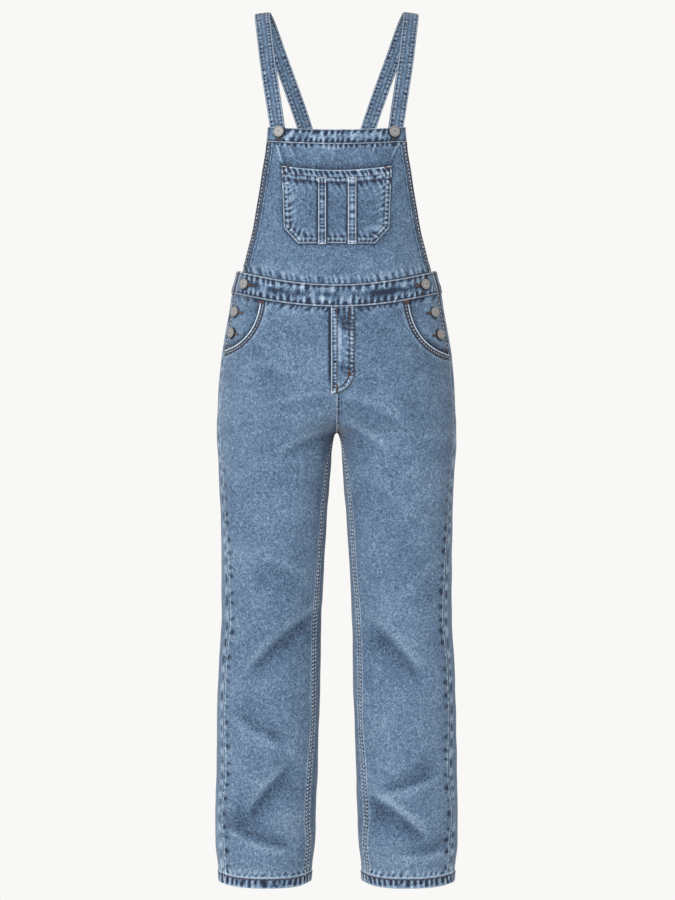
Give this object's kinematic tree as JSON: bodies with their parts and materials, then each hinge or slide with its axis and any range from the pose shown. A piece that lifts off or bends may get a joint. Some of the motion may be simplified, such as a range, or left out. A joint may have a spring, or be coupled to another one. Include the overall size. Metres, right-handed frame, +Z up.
{
  "type": "denim bib overalls",
  "caption": "Washed blue denim bib overalls, filled out as worn, with a patch pocket on the bib, side buttons, scooped hip pockets and straight full-length legs.",
  "frame": {"origin": "midway between the undersides of the two straps on top of the shoulders, where the garment is held", "axes": "+X towards the wearer's left, +Y towards the wearer's back, +Z up"},
  "size_m": [0.4106, 0.2564, 1.4772],
  "materials": {
    "denim": "mid blue washed cotton denim, matt twill",
    "denim_faded": "the same denim, paler where the wash has worn bands and edges",
    "button_metal": "dull silver-grey metal, plain domed face"
  },
  "bodies": {
    "root": {"leg_front_left": "denim", "leg_front_right": "denim", "leg_back_left": "denim", "leg_back_right": "denim", "bib": "denim", "bib_pocket": "denim", "back_bib": "denim", "strap_left": "denim", "strap_right": "denim", "fly": "denim", "waistband_front": "denim_faded", "waistband_back": "denim_faded", "bib_band": "denim_faded", "pocket_strip_left": "denim_faded", "pocket_strip_right": "denim_faded", "hip_facing_left": "denim_faded", "hip_facing_right": "denim_faded", "button_bib_left": "button_metal", "button_bib_right": "button_metal", "button_waist_left": "button_metal", "button_waist_right": "button_metal", "button_hip_upper_left": "button_metal", "button_hip_upper_right": "button_metal", "button_hip_lower_left": "button_metal", "button_hip_lower_right": "button_metal"}
  },
  "joints": []
}
